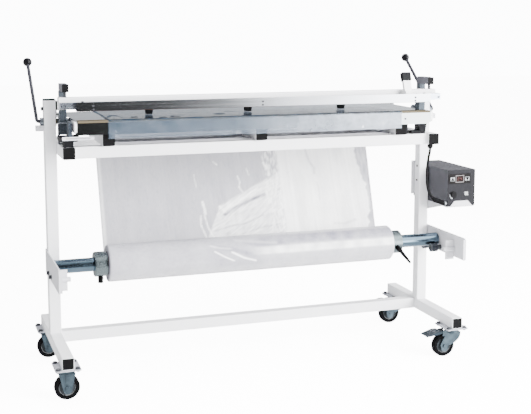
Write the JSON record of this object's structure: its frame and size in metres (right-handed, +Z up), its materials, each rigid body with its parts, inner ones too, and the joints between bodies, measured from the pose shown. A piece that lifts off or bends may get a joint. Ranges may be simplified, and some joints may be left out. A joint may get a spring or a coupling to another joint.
{
  "type": "impulse sealer",
  "caption": "Wide impulse sealer on a wheeled tube frame, with twin levers, a sliding cutter, a film roll on rollers below the table and a side control box",
  "frame": {"origin": "Middle of the bounding box, on the floor under the wheels", "axes": "+X runs along the jaws toward the control box, +Y from the operator to the back, +Z up"},
  "size_m": [1.6239, 0.5729, 1.1078],
  "materials": {
    "frame_paint": "white powder coat",
    "tube_caps": "matte black plastic",
    "caster_zinc": "blue zinc plate",
    "bolts": "zinc-plated steel",
    "jaw_bars": "ground and polished metal",
    "sealing_band": "tan coated glass fabric",
    "end_covers": "white powder coat",
    "dark_paint": "black powder coat",
    "bracket_paint": "white powder coat",
    "table_plate": "polished stainless sheet",
    "film_tray": "light grey paint",
    "lift_steel": "blued steel",
    "film_brake": "dark rubber",
    "guide_rod": "polished rod",
    "shaft_bushes": "sintered bronze",
    "rollers": "dark grey plastic",
    "case_paint": "dark grey textured paint",
    "panel": "dark grey front foil",
    "display": "red digits behind a dark window",
    "electronics": "circuit board and coated windings",
    "fittings": "black plastic with metal rings",
    "lead": "black cable sheath",
    "film": "clear plastic film, milky in layers",
    "buttons": "white plastic",
    "jaw_rail": "anodised extrusion",
    "pressure_pad": "silicone rubber",
    "block_bars": "grey paint with dark front face",
    "cutter_white": "white powder coat",
    "cutter_cap": "black plastic grip",
    "shaft_steel": "drawn steel",
    "lever_rods": "dark grey",
    "ball_knobs": "polished black phenolic",
    "roll_shaft": "galvanised tube, polished",
    "collars": "dark zinc",
    "film_roll": "wound clear film, milky",
    "clamp_levers": "black plastic",
    "wheels": "black tyre on a grey rim",
    "pedals": "zinc-plated steel"
  },
  "bodies": {
    "frame": {"feet": "frame_paint", "uprights": "frame_paint", "lower_crossbeam": "frame_paint", "table_arms": "frame_paint", "table_cross_tubes": "frame_paint", "bed_tubes": "frame_paint", "tube_caps": "tube_caps", "caster_mounts": "caster_zinc", "frame_bolts": "bolts", "lower_jaw": "jaw_bars", "sealing_band": "sealing_band", "jaw_end_covers": "end_covers", "jaw_supports": "dark_paint", "white_brackets": "bracket_paint", "table_plate": "table_plate", "film_tray": "film_tray", "column_guides": "lift_steel", "film_brake": "film_brake", "film_guide_rod": "guide_rod", "shaft_bushes": "shaft_bushes", "roll_side_plates": "bracket_paint", "control_case": "case_paint", "control_panel": "panel", "display": "display", "box_bracket": "bracket_paint", "box_electronics": "electronics", "box_fittings": "fittings", "sensor_lead": "lead", "film_web": "film", "film_front": "film"},
    "upper": {"upper_beam": "frame_paint", "jaw_rail": "jaw_rail", "upper_jaw": "jaw_bars", "pressure_pad": "pressure_pad", "block_bars": "block_bars", "lift_columns": "lift_steel", "jaw_screws": "bolts"},
    "cutter": {"cutter_carriage": "cutter_white", "cutter_cap": "cutter_cap"},
    "levers": {"lever_shaft": "shaft_steel", "lever_rods": "lever_rods", "ball_knobs": "ball_knobs"},
    "roll": {"roll_shaft": "roll_shaft", "roll_collars": "collars", "film_roll": "film_roll"},
    "clamp_left": {"clamp_lever_left": "clamp_levers"},
    "clamp_right": {"clamp_lever_right": "clamp_levers"},
    "rollers_front": {"front_rollers": "rollers"},
    "rollers_rear": {"rear_rollers": "rollers"},
    "swivel_front": {"swivel_fork_front": "caster_zinc"},
    "swivel_rear": {"swivel_fork_rear": "caster_zinc"},
    "wheel_fl": {"wheel_front_left": "wheels"},
    "wheel_rl": {"wheel_rear_left": "wheels"},
    "wheel_fr": {"wheel_front_right": "wheels"},
    "wheel_rr": {"wheel_rear_right": "wheels"},
    "pedal_front": {"brake_pedal_front": "pedals"},
    "pedal_rear": {"brake_pedal_rear": "pedals"},
    "up_button": {"up_button": "buttons"},
    "down_button": {"down_button": "buttons"},
    "rocker": {"rocker_switch": "buttons"}
  },
  "joints": [
    {"name": "jaw_lift", "type": "slide", "parent": "frame", "child": "upper", "axis": [0, 0, -1], "range_m": [0, 0.03]},
    {"name": "lever_turn", "type": "hinge", "parent": "frame", "child": "levers", "pos_m": [-0.04, 0.02853, 0.898], "axis": [1, 0, 0], "range_deg": [0, 86]},
    {"name": "cutter_slide", "type": "slide", "parent": "upper", "child": "cutter", "axis": [1, 0, 0], "range_m": [-1.16, 0.03]},
    {"name": "roll_turn", "type": "hinge", "parent": "frame", "child": "roll", "pos_m": [-0.04, -0.07147, 0.409], "axis": [1, 0, 0], "continuous": true},
    {"name": "front_roller_turn", "type": "hinge", "parent": "frame", "child": "rollers_front", "pos_m": [-0.04, -0.10247, 0.383], "axis": [1, 0, 0], "continuous": true},
    {"name": "rear_roller_turn", "type": "hinge", "parent": "frame", "child": "rollers_rear", "pos_m": [-0.04, -0.04047, 0.383], "axis": [1, 0, 0], "continuous": true},
    {"name": "clamp_left_turn", "type": "hinge", "parent": "roll", "child": "clamp_left", "pos_m": [-0.607, -0.07147, 0.359], "axis": [0, 0, -1], "range_deg": [-60, 0]},
    {"name": "clamp_right_turn", "type": "hinge", "parent": "roll", "child": "clamp_right", "pos_m": [0.507, -0.11902, 0.39355], "axis": [0, -0.9511, -0.309], "range_deg": [-30, 60]},
    {"name": "swivel_front_turn", "type": "hinge", "parent": "frame", "child": "swivel_front", "pos_m": [0.674, -0.23347, 0.095], "axis": [0, 0, 1], "continuous": true},
    {"name": "swivel_rear_turn", "type": "hinge", "parent": "frame", "child": "swivel_rear", "pos_m": [0.674, 0.22953, 0.095], "axis": [0, 0, 1], "continuous": true},
    {"name": "wheel_fl_turn", "type": "hinge", "parent": "frame", "child": "wheel_fl", "pos_m": [-0.754, -0.23347, 0.042], "axis": [0, 1, 0], "continuous": true},
    {"name": "wheel_rl_turn", "type": "hinge", "parent": "frame", "child": "wheel_rl", "pos_m": [-0.754, 0.22953, 0.042], "axis": [0, 1, 0], "continuous": true},
    {"name": "wheel_fr_turn", "type": "hinge", "parent": "swivel_front", "child": "wheel_fr", "pos_m": [0.639, -0.23347, 0.042], "axis": [0, 1, 0], "continuous": true},
    {"name": "wheel_rr_turn", "type": "hinge", "parent": "swivel_rear", "child": "wheel_rr", "pos_m": [0.639, 0.22953, 0.042], "axis": [0, 1, 0], "continuous": true},
    {"name": "pedal_front_turn", "type": "hinge", "parent": "swivel_front", "child": "pedal_front", "pos_m": [0.638, -0.23347, 0.09], "axis": [0, 1, 0], "range_deg": [-8, 0]},
    {"name": "pedal_rear_turn", "type": "hinge", "parent": "swivel_rear", "child": "pedal_rear", "pos_m": [0.638, 0.22953, 0.09], "axis": [0, 1, 0], "range_deg": [-8, 0]},
    {"name": "up_button_press", "type": "slide", "parent": "frame", "child": "up_button", "axis": [0, 1, 0], "range_m": [0, 0.002], "stiffness_N_per_m": 300, "springref_m": -0.002},
    {"name": "down_button_press", "type": "slide", "parent": "frame", "child": "down_button", "axis": [0, 1, 0], "range_m": [0, 0.002], "stiffness_N_per_m": 300, "springref_m": -0.002},
    {"name": "rocker_tilt", "type": "hinge", "parent": "frame", "child": "rocker", "pos_m": [0.776, -0.13547, 0.592], "axis": [1, 0, 0], "range_deg": [0, 12]}
  ],
  "couplings": [
    {"joint": "lever_turn", "follows": "jaw_lift", "rad_per_m": 50},
    {"joint": "front_roller_turn", "follows": "roll_turn", "ratio": -1.5094},
    {"joint": "rear_roller_turn", "follows": "roll_turn", "ratio": -1.5094}
  ]
}
